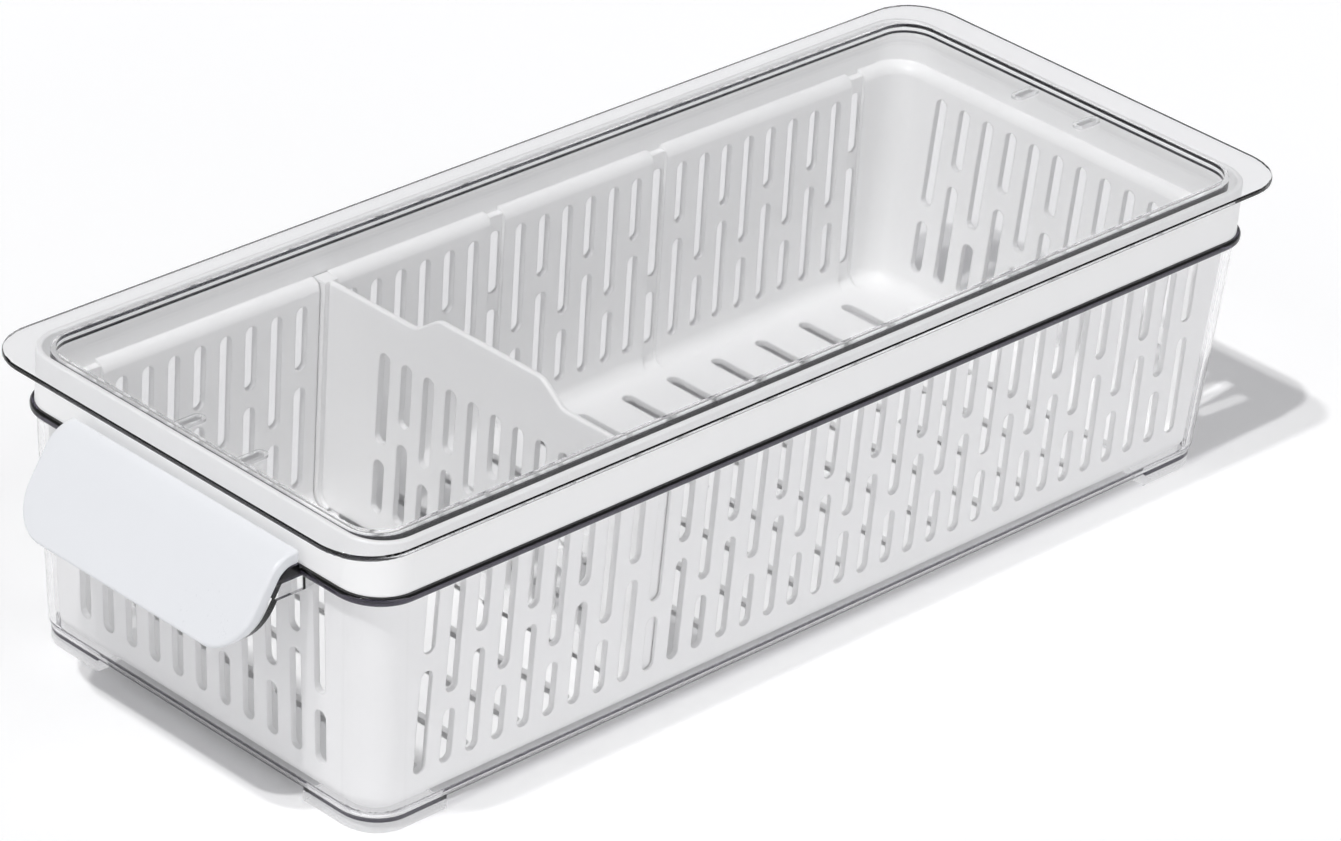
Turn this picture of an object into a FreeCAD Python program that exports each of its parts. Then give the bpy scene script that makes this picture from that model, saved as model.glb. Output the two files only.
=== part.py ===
import FreeCAD, Part
import math
import os

# Produce storage container: a clear bin with a grip at its front, a slotted basket that hangs
# in the bin by its collar, a divider that drops into grooves in the basket, and a clear lid.
# Millimetres, +Z up, the grip at -Y, the feet on Z = 0.

# Bin: outside size at the rim, then walls, taper of each wall from rim to floor, rim and feet
bin_width = 142.4
bin_length = 351.0
bin_height = 76.0
bin_corner = 12.4
bin_wall = 2.0
bin_floor = 2.0
side_taper = 1.8
end_taper = 5.8
bottom_round = 5.5
rim_reach = 1.6
rim_depth = 2.4
rim_round = 0.9
foot_height = 2.0
foot_size = 27.0
foot_inset = 0.5
foot_round = 0.8

# Basket: clearances to the bin, walls, ledge that rests on the rim, and collar above it
basket_gap = 1.2
basket_floor_gap = 1.0
basket_wall = 2.0
basket_floor = 2.0
seat_gap = 0.1
ledge_thickness = 2.0
ledge_round = 3.4
ledge_steps = 4
ledge_lap = 0.02
collar_height = 15.2
collar_wall = 1.8
collar_reach = 0.3
collar_round = 0.6

# Slots: columns alternate a short slot over a long one with a long slot over a short one
slot_pitch = 9.5
slot_width = 4.3
slot_bridge = 5.4
slot_from_bottom = 9.5
slot_from_rim = 4.0
upper_short_slot = 20.0
lower_short_slot = 16.8
slot_corner_margin = 1.0
floor_slot_margin = 6.0

# Divider, the grooves it slides in and the pockets its ears rest in
divider_wall = 2.0
divider_columns = 7
groove_width = 5.6
groove_depth = 1.2
groove_clearance = 0.35
pocket_depth = 1.2
divider_end = 2.6
divider_slot_from_top = 12.7
divider_slot_pitch = 8.95
divider_round = 0.8
thumb_rise = 6.3
thumb_base = 58.5
thumb_top = 41.0
thumb_round = 5.5

# Lid: flange over the collar and a recessed panel whose wall drops inside the collar
lid_plate = 1.6
lid_side_overhang = 4.7
lid_end_overhang = 9.7
lid_corner = 16.0
lid_round = 0.5
recess_depth = 3.0
recess_corner = 10.0
plug_wall = 1.5
plug_side_gap = 2.3
plug_end_gap = 0.4
vent_length = 8.0
vent_width = 2.0
vent_rim = 1.1
vent_rim_height = 0.8
vent_spacing = 24.6
vent_from_end = 6.3

# Grip: a clear lip that leans out from the bin's front rim, under an opaque cover
grip_width = 89.6
grip_corner = 12.0
grip_run = 1.8
grip_bend = 10.0
grip_lean = 30.3
grip_drop = 26.4
lip_wall = 2.4
lip_root = 2.5
lip_sink = 0.95
web_wall = 2.0
web_depth = 7.0
cover_wall = 4.2
cover_gap = 0.05
cover_round = 1.0
collar_clearance = 1.8

touch = 1e-4
Vector = FreeCAD.Vector

# Heights and half sizes that follow from the values above
basket_bottom = foot_height + bin_floor + basket_floor_gap
basket_inset = bin_wall + basket_gap
inner_inset = basket_inset + basket_wall
inner_floor = basket_bottom + basket_floor
inner_round = bottom_round - basket_wall / 2
ledge_bottom = bin_height + seat_gap
ledge_top = ledge_bottom + ledge_thickness
collar_top = ledge_bottom + collar_height
collar_half_width = bin_width / 2 + collar_reach
collar_half_length = bin_length / 2 + collar_reach
collar_corner = bin_corner + collar_reach
flange_bottom = collar_top + seat_gap
lid_top = flange_bottom + lid_plate
lid_half_width = collar_half_width + lid_side_overhang
lid_half_length = collar_half_length + lid_end_overhang
panel_top = lid_top - recess_depth
plug_half_width = collar_half_width - collar_wall - plug_side_gap
plug_half_length = collar_half_length - collar_wall - plug_end_gap
slot_bottom = basket_bottom + slot_from_bottom
slot_top = bin_height - slot_from_rim
grip_back = -(collar_half_length + collar_clearance)
grip_top = bin_height - lip_sink + lip_wall + cover_gap + cover_wall
lean = math.radians(grip_lean)


def upright_edges(shape):
    return [e for e in shape.Edges if abs(e.Vertexes[0].Z - e.Vertexes[-1].Z) > touch]


def edges_at(shape, height):
    return [e for e in shape.Edges if all(abs(v.Z - height) < touch for v in e.Vertexes)]


def box_between(low, high):
    """Box given by two opposite corners."""
    size = Vector(*high) - Vector(*low)
    return Part.makeBox(size.x, size.y, size.z, Vector(*low))


def rounded_prism(half_width, half_length, radius, low, high):
    """Upright prism of a rounded rectangle about the Z axis."""
    block = box_between((-half_width, -half_length, low), (half_width, half_length, high))
    return block.makeFillet(radius, upright_edges(block))


def half_sizes(height, inset):
    """Half width and half length, at a height, of the bin's tapered outside moved in by inset."""
    drop = (bin_height - height) / (bin_height - foot_height)
    return bin_width / 2 - inset - side_taper * drop, bin_length / 2 - inset - end_taper * drop


def tapered_block(low, high, inset, bottom_radius):
    """Block whose sides lie inset inside the bin's outside, with rounded corners and bottom edge."""
    x_low, y_low = half_sizes(low, inset)
    x_high, y_high = half_sizes(high, inset)
    block = Part.makeWedge(-x_low, low, -y_low, -y_high, -x_high, x_low, high, y_low, y_high, x_high)
    block.rotate(Vector(0, 0, 0), Vector(1, 0, 0), 90)
    block = block.makeFillet(bin_corner - inset, upright_edges(block))
    return block.makeFillet(bottom_radius, edges_at(block, low))


def stadium(length, width, depth):
    """Flat-sided slot with round ends: length along X, width along Y, depth along Z, centred."""
    reach = (length - width) / 2
    ends = [Part.makeCylinder(width / 2, depth, Vector(x, 0, -depth / 2)) for x in (-reach, reach)]
    middle = box_between((-reach, -width / 2, -depth / 2), (reach, width / 2, depth / 2))
    return middle.multiFuse(ends).removeSplitter()


def upright_slot(low, high, depth, along_x):
    """Slot standing between two heights that cuts along X, or along Y."""
    slot = stadium(high - low, slot_width, depth)
    slot.rotate(Vector(0, 0, 0), Vector(0, 1, 0), 90)
    if not along_x:
        slot.rotate(Vector(0, 0, 0), Vector(0, 0, 1), 90)
    slot.translate(Vector(0, 0, (low + high) / 2))
    return slot


def slot_spans(column, low, high):
    """Heights of the two slots of a column: odd columns have their bridge low, even ones high."""
    if column % 2:
        bridge = low + lower_short_slot
    else:
        bridge = high - upper_short_slot - slot_bridge
    return [(low, bridge), (bridge + slot_bridge, high)]


def columns_within(half_straight):
    """Number of slot columns on each side of the middle one along a straight wall."""
    return int((half_straight - slot_width / 2 - slot_corner_margin) / slot_pitch)


floor_half_width, floor_half_length = half_sizes(slot_bottom, inner_inset)
straight_cut = bin_corner - inner_inset
side_columns = columns_within(floor_half_length - straight_cut)
end_columns = columns_within(floor_half_width - straight_cut)
groove_columns = [-side_columns, -divider_columns, 0, divider_columns, side_columns]
divider_y = -divider_columns * slot_pitch


def grip_line(depth, back):
    """Line of the grip in the YZ plane at a depth below its face: back end, bend and tip."""
    centre = Vector(0, grip_back - grip_run, grip_top - grip_bend)
    radius = grip_bend - depth
    turn = math.pi / 2 - lean
    bend = [
        centre + Vector(0, -radius * math.sin(angle), radius * math.cos(angle))
        for angle in (0, turn / 2, turn)
    ]
    slope_drop = grip_drop - grip_bend * (1 - math.cos(turn))
    tip = bend[2] + Vector(0, -slope_drop * math.tan(lean), -slope_drop)
    return Vector(0, back, grip_top - depth), bend, tip


def grip_layer(near, far):
    """Section in the YZ plane of one layer of the grip, between two depths below its face."""
    start, bend, tip = grip_line(near, grip_back)
    back_start, back_bend, back_tip = grip_line(far, grip_back)
    edges = [
        Part.makeLine(start, bend[0]),
        Part.Arc(*bend).toShape(),
        Part.makeLine(bend[2], tip),
        Part.makeLine(tip, back_tip),
        Part.makeLine(back_tip, back_bend[2]),
        Part.Arc(*reversed(back_bend)).toShape(),
        Part.makeLine(back_bend[0], back_start),
        Part.makeLine(back_start, start),
    ]
    return Part.Face(Part.Wire(edges))


def grip_fill(depth, back):
    """Section in the YZ plane of all that lies between the grip and an upright plane behind it."""
    start, bend, tip = grip_line(depth, back)
    corner = Vector(0, back, tip.z)
    edges = [
        Part.makeLine(start, bend[0]),
        Part.Arc(*bend).toShape(),
        Part.makeLine(bend[2], tip),
        Part.makeLine(tip, corner),
        Part.makeLine(corner, start),
    ]
    return Part.Face(Part.Wire(edges))


def grip_solid(face):
    """A grip section drawn out to the grip's width, with the two lower corners rounded off."""
    bar = face.extrude(Vector(grip_width, 0, 0))
    bar.translate(Vector(-grip_width / 2, 0, 0))
    low = grip_top - grip_drop
    front = box_between((-grip_width / 2, -bin_length, low), (grip_width / 2, 0, bin_length))
    corners = [e for e in edges_at(front, low) if abs(e.Vertexes[0].Y - e.Vertexes[1].Y) > touch]
    return bar.common(front.makeFillet(grip_corner, corners))


def make_bin():
    """Clear moulding: shell, rim bead, corner feet, and the lip that carries the grip's cover."""
    shell = tapered_block(foot_height, bin_height, 0, bottom_round)
    rim = rounded_prism(
        bin_width / 2 + rim_reach,
        bin_length / 2 + rim_reach,
        bin_corner + rim_reach,
        bin_height - rim_depth,
        bin_height,
    )
    rim = rim.makeFillet(rim_round, edges_at(rim, bin_height) + edges_at(rim, bin_height - rim_depth))
    hollow_round = max(bottom_round - bin_wall, bin_wall / 2)
    hollow = tapered_block(foot_height + bin_floor, bin_height + bin_wall, bin_wall, hollow_round)

    half_width, half_length = half_sizes(foot_height, foot_inset)
    pads = rounded_prism(half_width, half_length, bin_corner - foot_inset, 0, foot_height + bottom_round)
    pads = pads.makeFillet(foot_round, edges_at(pads, 0))
    inner_x, inner_y = half_width - foot_size, half_length - foot_size
    cross = [
        box_between((-inner_x, -bin_length, 0), (inner_x, bin_length, bin_height)),
        box_between((-bin_width, -inner_y, 0), (bin_width, inner_y, bin_height)),
    ]
    feet = pads.cut(cross)

    lip_depth = cover_wall + cover_gap
    lip = grip_solid(grip_layer(lip_depth, lip_depth + lip_wall))
    wall_middle = -(bin_length / 2 - bin_wall / 2)
    root = box_between(
        (-grip_width / 2, grip_back - lip_root, bin_height - rim_depth),
        (grip_width / 2, wall_middle, bin_height),
    )
    neck = box_between(
        (-grip_width / 2, grip_back - lip_root, bin_height - rim_depth),
        (grip_width / 2, grip_back, grip_top - lip_depth),
    )
    web_bar = grip_solid(grip_fill(lip_depth + lip_wall / 2, wall_middle))
    webs = []
    for side in (-1, 1):
        inside, outside = side * (grip_width / 2 - web_wall), side * grip_width / 2
        low = (min(inside, outside), -bin_length, bin_height - web_depth)
        high = (max(inside, outside), wall_middle, bin_height - rim_depth / 2)
        webs.append(web_bar.common(box_between(low, high)))
    return shell.multiFuse([rim, feet, lip, root, neck] + webs).cut(hollow).removeSplitter()


def make_cover():
    """Opaque cover moulded over the face of the lip."""
    cover = grip_solid(grip_layer(0, cover_wall))
    return cover.makeFillet(cover_round, cover.Edges)


def ledge_flare():
    """Loft that rounds the ledge over, from the inner wall up to the ledge's top."""
    inner_half_width, _ = half_sizes(ledge_top, inner_inset)
    ledge_width = collar_half_width - collar_wall - inner_half_width
    radius = min(ledge_round, 0.95 * ledge_width)
    sections = []
    for step in range(ledge_steps + 1):
        angle = math.pi / 2 * step / ledge_steps
        height = ledge_top - radius * (1 - math.sin(angle))
        inset = inner_inset + ledge_lap - radius * (1 - math.cos(angle))
        block = rounded_prism(*half_sizes(height, inset), bin_corner - inset, height, ledge_top + radius)
        sections.append(Part.Wire(Part.sortEdges(edges_at(block, height))[0]))
    return Part.makeLoft(sections, True)


def make_basket():
    """Slotted basket: tapered walls and floor, the ledge that rests on the rim, and the collar."""
    walls = tapered_block(basket_bottom, ledge_top, basket_inset, bottom_round)
    collar = rounded_prism(collar_half_width, collar_half_length, collar_corner, ledge_bottom, collar_top)
    hollow = tapered_block(inner_floor, collar_top, inner_inset, inner_round)
    mouth = rounded_prism(
        collar_half_width - collar_wall,
        collar_half_length - collar_wall,
        collar_corner - collar_wall,
        ledge_top,
        collar_top + collar_wall,
    )
    basket = walls.fuse(collar).cut(hollow).cut(mouth)
    basket = basket.cut(ledge_flare())
    basket = basket.makeFillet(collar_round, edges_at(basket, collar_top))

    side_cuts = []
    for column in range(-side_columns, side_columns + 1):
        for low, high in slot_spans(column, slot_bottom, slot_top):
            slot = upright_slot(low, high, bin_width, True)
            slot.translate(Vector(0, column * slot_pitch, 0))
            side_cuts.append(slot)
    end_cuts = []
    for column in range(-end_columns, end_columns + 1):
        for low, high in slot_spans(column, slot_bottom, slot_top):
            slot = upright_slot(low, high, bin_length, False)
            slot.translate(Vector(column * slot_pitch, 0, 0))
            end_cuts.append(slot)

    grooves = tapered_block(inner_floor, collar_top, inner_inset - groove_depth, inner_round)
    groove_cuts = []
    pocket_reach = collar_half_width - collar_wall
    pocket_bottom = ledge_top - pocket_depth
    for column in groove_columns:
        y_low = column * slot_pitch - groove_width / 2
        y_high = y_low + groove_width
        slab = box_between((-bin_width, y_low, inner_floor), (bin_width, y_high, ledge_top))
        pocket = box_between((-pocket_reach, y_low, pocket_bottom), (pocket_reach, y_high, collar_top))
        groove_cuts.extend([grooves.common(slab), pocket])

    floor_cuts = []
    floor_half, _ = half_sizes(inner_floor, inner_inset)
    floor_slot = floor_half - 2 * floor_slot_margin
    for column in range(1 - side_columns, side_columns, 2):
        for side in (-1, 1):
            slot = stadium(floor_slot, slot_width, 2 * basket_floor)
            middle = side * (floor_slot + floor_slot_margin) / 2
            slot.translate(Vector(middle, column * slot_pitch, basket_bottom + basket_floor / 2))
            floor_cuts.append(slot)
    return basket.cut(side_cuts).cut(end_cuts).cut(groove_cuts).cut(floor_cuts).removeSplitter()


def make_divider():
    """Upright slotted plate with thick ends that slide in the grooves and a raised thumb tab."""
    low = inner_floor + groove_clearance
    end_inset = inner_inset - groove_depth + groove_clearance
    envelope = tapered_block(low, ledge_top, end_inset, inner_round)
    core = tapered_block(low, ledge_top, end_inset + divider_end, inner_round)
    half_wall = divider_wall / 2
    half_end = groove_width / 2 - groove_clearance
    plate_slab = box_between(
        (-bin_width, divider_y - half_wall, low),
        (bin_width, divider_y + half_wall, ledge_top),
    )
    end_slab = box_between(
        (-bin_width, divider_y - half_end, low),
        (bin_width, divider_y + half_end, ledge_top),
    )
    plate = envelope.common(plate_slab)
    ends = envelope.common(end_slab).cut(core)
    ear_reach = collar_half_width - collar_wall - groove_clearance
    ears = box_between(
        (-ear_reach, divider_y - half_end, ledge_top - pocket_depth + seat_gap),
        (ear_reach, divider_y + half_end, ledge_top),
    )
    ear_gap, _ = half_sizes(ledge_top, end_inset + divider_end)
    ears = ears.cut(box_between((-ear_gap, -bin_length, 0), (ear_gap, bin_length, collar_top)))

    thumb_points = [
        Vector(-thumb_base / 2, divider_y - half_wall, ledge_top),
        Vector(-thumb_top / 2, divider_y - half_wall, ledge_top + thumb_rise),
        Vector(thumb_top / 2, divider_y - half_wall, ledge_top + thumb_rise),
        Vector(thumb_base / 2, divider_y - half_wall, ledge_top),
        Vector(thumb_base / 2, divider_y - half_wall, ledge_top - thumb_rise),
        Vector(-thumb_base / 2, divider_y - half_wall, ledge_top - thumb_rise),
    ]
    thumb = Part.Face(Part.makePolygon(thumb_points + thumb_points[:1])).extrude(Vector(0, divider_wall, 0))
    divider = plate.multiFuse([ends, ears, thumb]).removeSplitter()
    bends = [
        e for e in divider.Edges
        if abs(e.Vertexes[0].Y - e.Vertexes[-1].Y) > divider_wall - touch
        and abs(e.BoundBox.XMin) < thumb_base / 2 + touch
        and e.BoundBox.ZMin > ledge_top - touch
    ]
    divider = divider.makeFillet(thumb_round, bends)
    top_edges = [
        e for e in divider.Edges
        if e.BoundBox.ZMin > ledge_top - touch
        and abs(abs(e.CenterOfMass.y - divider_y) - half_wall) < touch
        and e.BoundBox.YLength < touch
    ]
    divider = divider.makeFillet(divider_round, top_edges)

    cuts = []
    for column in range(-end_columns, end_columns):
        for slot_low, slot_high in slot_spans(column, slot_bottom, ledge_top - divider_slot_from_top):
            slot = upright_slot(slot_low, slot_high, bin_length, False)
            slot.translate(Vector((column + 0.5) * divider_slot_pitch, 0, 0))
            cuts.append(slot)
    return divider.cut(cuts).removeSplitter()


def make_lid():
    """Clear lid: overhanging flange, wall that drops inside the collar, and vented panel."""
    flange = rounded_prism(lid_half_width, lid_half_length, lid_corner, flange_bottom, lid_top)
    flange = flange.makeFillet(lid_round, edges_at(flange, lid_top) + edges_at(flange, flange_bottom))
    plug = rounded_prism(
        plug_half_width,
        plug_half_length,
        recess_corner + plug_wall,
        panel_top - lid_plate,
        lid_top - lid_plate / 2,
    )
    recess = rounded_prism(
        plug_half_width - plug_wall,
        plug_half_length - plug_wall,
        recess_corner,
        panel_top,
        lid_top + lid_plate,
    )
    lid = flange.fuse(plug).cut(recess)

    rims = []
    holes = []
    vent_y = plug_half_length - plug_wall - vent_from_end
    for end in (-1, 1):
        for side in (-1, 1):
            place = Vector(side * vent_spacing / 2, end * vent_y, panel_top)
            rim = stadium(vent_length + 2 * vent_rim, vent_width + 2 * vent_rim, 2 * vent_rim_height)
            hole = stadium(vent_length, vent_width, 4 * lid_plate)
            for shape in (rim, hole):
                shape.rotate(Vector(0, 0, 0), Vector(0, 0, 1), 90)
                shape.translate(place)
            rims.append(rim)
            holes.append(hole)
    return lid.multiFuse(rims).cut(holes).removeSplitter()


# The origin is the middle of the whole footprint, from the grip's tip to the lid's far edge
grip_tip = grip_line(0, grip_back)[2]
frame_shift = Vector(0, -(grip_tip.y + lid_half_length) / 2, 0)
pieces = {
    "outer_bin": make_bin(),
    "handle_cover": make_cover(),
    "storage_basket": make_basket(),
    "divider": make_divider(),
    "lid": make_lid(),
}
os.makedirs("parts", exist_ok=True)
for name, shape in pieces.items():
    shape.translate(frame_shift)
    shape.exportStep("parts/" + name + ".step")
    print(name, shape.isValid(), len(shape.Solids), round(shape.Volume), shape.BoundBox)
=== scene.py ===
import bpy
import math
from mathutils import Matrix, Vector

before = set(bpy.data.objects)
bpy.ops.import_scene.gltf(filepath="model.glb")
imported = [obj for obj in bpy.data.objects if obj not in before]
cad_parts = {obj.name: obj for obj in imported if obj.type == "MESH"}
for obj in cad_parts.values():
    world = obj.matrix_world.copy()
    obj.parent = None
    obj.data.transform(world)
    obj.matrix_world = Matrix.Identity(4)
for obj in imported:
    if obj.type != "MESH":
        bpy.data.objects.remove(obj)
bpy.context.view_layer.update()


# Clear bin
# The outer box: one shot of clear, slightly smoky plastic with a bead round its rim, four low
# feet and a lip at the front. The walls are polished. Their rim band is painted dark as painted
# shade for the dark that the thick bead refracts, and a band just above the feet carries a painted
# shadow of the gap under the bin.
class Wire:
    """A socket of a node tree. Sums and products of wires and numbers add Math nodes."""

    def __init__(self, tree, socket=None):
        self.tree = tree
        self.socket = socket

    def node(self, kind, settings=None, sockets=None, output=0):
        made = self.tree.nodes.new(kind)
        for name, value in (settings or {}).items():
            if name == "stops":
                ramp = made.color_ramp
                while len(ramp.elements) < len(value):
                    ramp.elements.new(0.5)
                for element, (place, colour) in zip(ramp.elements, value):
                    element.position = place
                    element.color = colour
            else:
                setattr(made, name, value)
        for name, value in (sockets or {}).items():
            if isinstance(value, Wire):
                self.tree.links.new(value.socket, made.inputs[name])
            else:
                made.inputs[name].default_value = value
        return Wire(self.tree, made.outputs[output]) if made.outputs else None

    def other(self, output):
        """Another output of the node that this wire comes from."""
        return Wire(self.tree, self.socket.node.outputs[output])

    def split(self):
        """The X, Y and Z of a vector."""
        across = self.node("ShaderNodeSeparateXYZ", {}, {0: self}, "X")
        return across, across.other("Y"), across.other("Z")

    def maths(self, operation, first, second):
        return self.node("ShaderNodeMath", {"operation": operation}, {0: first, 1: second})

    def largest(self, other):
        return self.maths("MAXIMUM", self, other)

    def __abs__(self):
        return self.maths("ABSOLUTE", self, 0.0)

    def __gt__(self, limit):
        return self.maths("GREATER_THAN", self, limit)

    def __lt__(self, limit):
        return self.maths("LESS_THAN", self, limit)

    def __add__(self, other):
        return self.maths("ADD", self, other)

    def __radd__(self, other):
        return self.maths("ADD", other, self)

    def __sub__(self, other):
        return self.maths("SUBTRACT", self, other)

    def __rsub__(self, other):
        return self.maths("SUBTRACT", other, self)

    def __mul__(self, other):
        return self.maths("MULTIPLY", self, other)

    def __rmul__(self, other):
        return self.maths("MULTIPLY", other, self)


def new_material(name):
    material = bpy.data.materials.new(name)
    material.use_nodes = True
    material.node_tree.nodes.clear()
    return material, Wire(material.node_tree)


def clear_plastic(name, tint, smoke, smoke_colour, painted_edge_shade, masks):
    """Polished clear plastic with painted shade: masked edges get a near-black colour. Lamps pass
    straight through, sight is bent.
    """
    material, wire = new_material(name)
    place = wire.node("ShaderNodeTexCoord", output="Object")
    waves = wire.node("ShaderNodeTexNoise", {}, {"Vector": place, "Scale": 26.0, "Detail": 1.0})
    ripple = wire.node("ShaderNodeBump", {}, {"Height": waves, "Strength": 0.04, "Distance": 0.001})
    painted_dark_edge, frost = masks(wire, place)
    # Painted shade: the masks mix a near-black colour into the transmitted colour at edges, standing
    # in for dark refracted there.
    shade = wire.node("ShaderNodeMix", {"data_type": "RGBA"}, {0: painted_dark_edge, 6: tint, 7: painted_edge_shade}, 2)
    solid = wire.node("ShaderNodeBsdfPrincipled", {}, {
        "Base Color": shade,
        "Roughness": 0.02,
        "IOR": 1.5,
        "Transmission Weight": 1.0,
        "Normal": ripple,
    })
    matt = wire.node("ShaderNodeBsdfDiffuse", {}, {"Color": (0.82, 0.82, 0.83, 1)})
    moulded = wire.node("ShaderNodeMixShader", {}, {0: frost, 1: solid, 2: matt})
    through = wire.node("ShaderNodeBsdfTransparent", {}, {"Color": (1, 1, 1, 1)})
    shadow_ray = wire.node("ShaderNodeLightPath", output="Is Shadow Ray")
    lamp_light = shadow_ray.largest(shadow_ray.other("Is Diffuse Ray"))
    surface = wire.node("ShaderNodeMixShader", {}, {0: lamp_light, 1: moulded, 2: through})
    inside = wire.node("ShaderNodeVolumeAbsorption", {}, {"Color": smoke_colour, "Density": smoke})
    wire.node("ShaderNodeOutputMaterial", {}, {"Surface": surface, "Volume": inside})
    return material


def bin_painted_edges(wire, place):
    """Masks of painted shade on the rim and a painted shadow above the foot of the walls, and of a
    matt share, by place in metres.
    """
    rim_low = 0.0736
    foot_low = 0.0036
    foot_high = 0.0051
    level_slope = 0.9
    foot_haze = 0.04
    _, _, height = place.split()
    _, _, slope = wire.node("ShaderNodeNewGeometry", output="Normal").split()
    # Painted shadow: a dark band on the steep faces just above the feet, standing in for the
    # shadowed gap under the bin.
    foot = (height < foot_high) * (height > foot_low) * (abs(slope) < level_slope)
    # Painted shade: the rim band above rim_low is made dark, standing in for dark refracted in the
    # bead.
    return (height > rim_low) + foot, foot_haze * foot


bin_plastic = clear_plastic(
    "clear_plastic_bin",
    tint=(1.0, 1.0, 1.0, 1),
    smoke=22.0,
    smoke_colour=(0.46, 0.45, 0.50, 1),
    # Painted shade: near black for the masked rim and foot bands.
    painted_edge_shade=(0.005, 0.004, 0.008, 1),
    masks=bin_painted_edges,
)
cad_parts["outer_bin"].data.materials[0] = bin_plastic


# Handle cover
# An opaque white cap on the face of the bin's lip, moulded in plastic with a satin gloss.
# It stays on the lip, so it moves with the bin.
def white_plastic(name, colour, shade, roughness, grain):
    """Opaque moulded plastic with a faint uneven gloss and a very fine grain."""
    soft_edge = 0.0007
    material, wire = new_material(name)
    place = wire.node("ShaderNodeTexCoord", output="Object")
    cloud = wire.node("ShaderNodeTexNoise", {}, {"Vector": place, "Scale": 34.0, "Detail": 3.0})
    speck = wire.node("ShaderNodeTexNoise", {}, {"Vector": place, "Scale": 1400.0, "Detail": 2.0})
    paint = wire.node("ShaderNodeMix", {"data_type": "RGBA"}, {0: cloud, 6: shade, 7: colour}, 2)
    gloss = roughness + 0.10 * (cloud - 0.5) + 0.06 * (speck - 0.5)
    soft = wire.node("ShaderNodeBevel", {"samples": 4}, {"Radius": soft_edge})
    skin = wire.node("ShaderNodeBump", {}, {
        "Height": speck,
        "Strength": grain,
        "Distance": 0.0002,
        "Normal": soft,
    })
    solid = wire.node("ShaderNodeBsdfPrincipled", {}, {
        "Base Color": paint,
        "Roughness": gloss,
        "IOR": 1.5,
        "Normal": skin,
    })
    wire.node("ShaderNodeOutputMaterial", {}, {"Surface": solid})
    return material


grip_white = white_plastic(
    "grip_white",
    colour=(0.755, 0.768, 0.792, 1),
    shade=(0.735, 0.748, 0.772, 1),
    roughness=0.30,
    grain=0.04,
)
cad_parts["handle_cover"].data.materials[0] = grip_white


# Slotted basket
# A white moulding with staggered slots in every wall. Its ledge hangs on the bin's rim, and its
# collar stands above the rim and takes the lid.
basket_white = white_plastic(
    "basket_white",
    colour=(0.92, 0.92, 0.92, 1),
    shade=(0.89, 0.89, 0.89, 1),
    roughness=0.38,
    grain=0.05,
)
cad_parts["storage_basket"].data.materials[0] = basket_white


# Divider
# A slotted plate with a thumb tab, moulded in the same white plastic as the basket.
# It drops into a pair of grooves in the basket's walls.
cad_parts["divider"].data.materials[0] = basket_white


# Lid
# A clear moulded plate with a flange all round and two vents at each end.
# Its recessed panel drops inside the basket's collar and keeps it in place.
def lid_painted_edges(wire, place):
    """Masks of painted shade on the edges of flange and recess, and of the matt vents, by slope and
    place.
    """
    lid_middle = 0.0075
    flange_side = 0.072
    flange_end = 0.178
    vent_side = 0.020
    vent_end = 0.1713
    recess_foot = 0.0904
    recess_brink = 0.0921
    flange_foot_rise = 0.0014
    flange_brink_rise = 0.0004
    level_slope = 0.93
    front_lean = -0.4
    painted_side_paleness = 0.12
    vent_frost = 0.6
    across, along, height = place.split()
    aside = abs(across)
    ahead = abs(along - lid_middle)
    outer = (aside > flange_side).largest(ahead > flange_end)
    vent = (aside < vent_side) * (ahead < vent_end)
    _, lean, slope = wire.node("ShaderNodeNewGeometry", output="Normal").split()
    upright = abs(slope) < level_slope
    low = height < recess_foot + flange_foot_rise * outer
    high = height > recess_brink + flange_brink_rise * outer
    # Painted shade on the upright edges, standing in for dark refracted there; outer flange faces
    # that do not face the front are painted a little paler.
    painted_edge_depth = 1.0 - painted_side_paleness * outer * (1.0 - (lean < front_lean))
    painted_dark_edge = upright * low.largest(high) * painted_edge_depth * (1.0 - vent)
    return painted_dark_edge, vent_frost * vent * upright


lid_plastic = clear_plastic(
    "clear_plastic_lid",
    tint=(0.975, 0.975, 0.98, 1),
    smoke=6.0,
    smoke_colour=(0.45, 0.45, 0.47, 1),
    # Painted shade: near black for the masked flange and recess edges.
    painted_edge_shade=(0.006, 0.006, 0.008, 1),
    masks=lid_painted_edges,
)
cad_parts["lid"].data.materials[0] = lid_plastic


# Floor, light and camera
# A plain white table, a close pair of key lamps high on the grip's side, and soft fill from
# the front and the camera's side.
bpy.ops.mesh.primitive_plane_add(size=60)
floor = bpy.context.object
floor.name = "floor"
lamp_side = (0.25, -0.60, 0.0)
glow_reach = 6.0
table, wire = new_material("pale_table")
matt = wire.node("ShaderNodeBsdfDiffuse", {}, {"Color": (0.88, 0.88, 0.885, 1)})
place = wire.node("ShaderNodeTexCoord", output="Object")
reach = wire.node(
    "ShaderNodeVectorMath", {"operation": "DISTANCE"}, {0: place, 1: lamp_side}, "Value"
)
even_white = wire.node("ShaderNodeMapRange", {}, {
    "Value": reach,
    "From Min": 0.46,
    "From Max": 1.08,
    "To Min": 0.97,
    "To Max": 1.21,
})
bright = wire.node("ShaderNodeBsdfDiffuse", {}, {"Color": even_white})
far_glow = wire.node("ShaderNodeValToRGB", {"stops": [
    (0.18, (0.0, 0.0, 0.0, 1)),
    (0.42, (0.41, 0.41, 0.41, 1)),
    (1.0, (0.64, 0.64, 0.64, 1)),
]}, {0: reach * (1 / glow_reach)})
glow = wire.node("ShaderNodeEmission", {}, {"Color": far_glow, "Strength": 1.0})
lit = wire.node("ShaderNodeAddShader", {}, {0: bright, 1: glow})
seen = wire.node("ShaderNodeLightPath", output="Is Camera Ray")
sight = seen.largest(seen.other("Is Glossy Ray")).largest(seen.other("Is Transmission Ray"))
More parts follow.
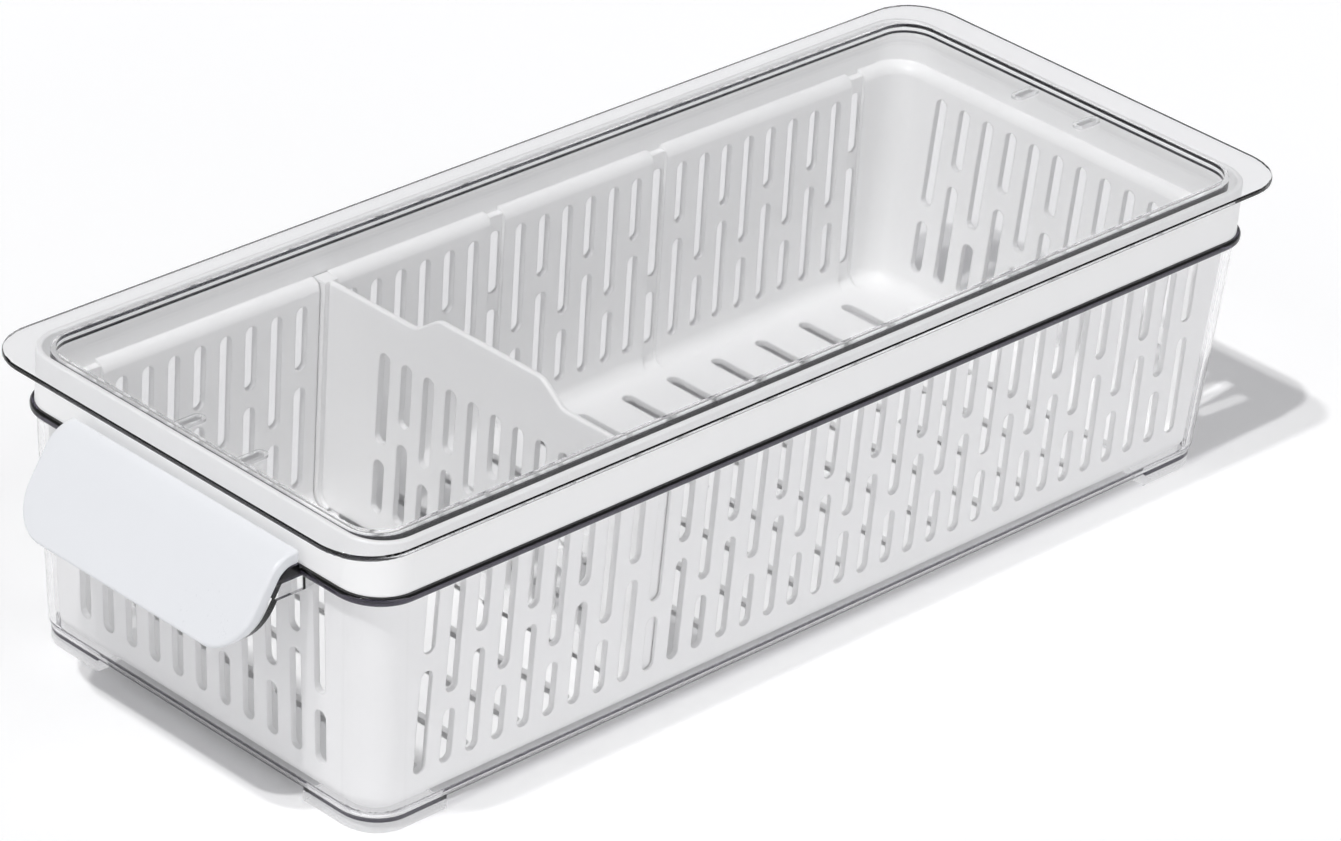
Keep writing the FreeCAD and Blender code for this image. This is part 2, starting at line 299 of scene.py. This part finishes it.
top = wire.node("ShaderNodeMixShader", {}, {0: sight, 1: matt, 2: lit})
wire.node("ShaderNodeOutputMaterial", {}, {"Surface": top})
floor.data.materials.append(table)

world = bpy.data.worlds.new("studio")
bpy.context.scene.world = world
world.use_nodes = True
world.node_tree.nodes.clear()
sky = Wire(world.node_tree)
_, _, height = sky.node("ShaderNodeTexCoord", output="Generated").split()
shades = sky.node("ShaderNodeValToRGB", {"stops": [
    (0.0, (0.68, 0.68, 0.69, 1)),
    (0.30, (0.53, 0.53, 0.54, 1)),
    (0.55, (0.25, 0.25, 0.26, 1)),
    (1.0, (0.15, 0.15, 0.16, 1)),
]}, {0: height})
plain = sky.node("ShaderNodeBackground", {}, {"Color": shades, "Strength": 1.0})
white = sky.node("ShaderNodeBackground", {}, {"Color": (1, 1, 1, 1), "Strength": 1.0})
camera_ray = sky.node("ShaderNodeLightPath", output="Is Camera Ray")
backdrop = sky.node("ShaderNodeMixShader", {}, {0: camera_ray, 1: plain, 2: white})
sky.node("ShaderNodeOutputWorld", {}, {"Surface": backdrop})


def add_lamp(name, kind, place, power, width, height):
    """Area lamp at a place, aimed at the middle of the container."""
    aim = Vector((0, 0, 0.04))
    lamp = bpy.data.objects.new(name, bpy.data.lights.new(name, "AREA"))
    lamp.data.shape = kind
    lamp.data.size = width
    lamp.data.size_y = height
    lamp.data.energy = power
    lamp.location = place
    lamp.rotation_mode = "QUATERNION"
    lamp.rotation_quaternion = (aim - lamp.location).to_track_quat("-Z", "Y")
    bpy.context.scene.collection.objects.link(lamp)


add_lamp("key_lamp", "DISK", (0.25, -1.39, 2.71), 31.0, 0.08, 0.08)
add_lamp("second_key", "DISK", (-0.08, -1.30, 2.75), 22.0, 0.10, 0.10)
add_lamp("front_fill", "RECTANGLE", (0.0, -2.30, 1.75), 6.0, 1.4, 1.0)
add_lamp("side_fill", "RECTANGLE", (2.8, 0.30, 0.62), 8.0, 2.2, 0.9)
add_lamp("high_fill", "RECTANGLE", (1.9, 0.10, 1.90), 11.0, 1.6, 1.0)

camera = bpy.data.objects.new("camera", bpy.data.cameras.new("camera"))
bpy.context.scene.collection.objects.link(camera)
camera_place = (1.0526, -1.1331, 0.8894)
camera_turn = math.radians(42.495)
camera_rise = math.radians(28.673)
camera_roll = math.radians(4.823)
photo_width_px = 1341
focal_length_px = 6221.12
sensor_mm = 36.0
back = Vector((
    math.sin(camera_turn) * math.cos(camera_rise),
    -math.cos(camera_turn) * math.cos(camera_rise),
    math.sin(camera_rise),
))
level = Vector((math.cos(camera_turn), math.sin(camera_turn), 0))
upward = back.cross(level)
across = math.cos(camera_roll) * level + math.sin(camera_roll) * upward
along = math.cos(camera_roll) * upward - math.sin(camera_roll) * level
axes = Matrix((across, along, back)).transposed().to_4x4()
camera.matrix_world = Matrix.Translation(camera_place) @ axes
camera.data.sensor_width = sensor_mm
camera.data.lens = sensor_mm * focal_length_px / photo_width_px
camera.data.clip_start = 0.05
bpy.context.scene.camera = camera
bpy.context.scene.view_settings.view_transform = "Standard"
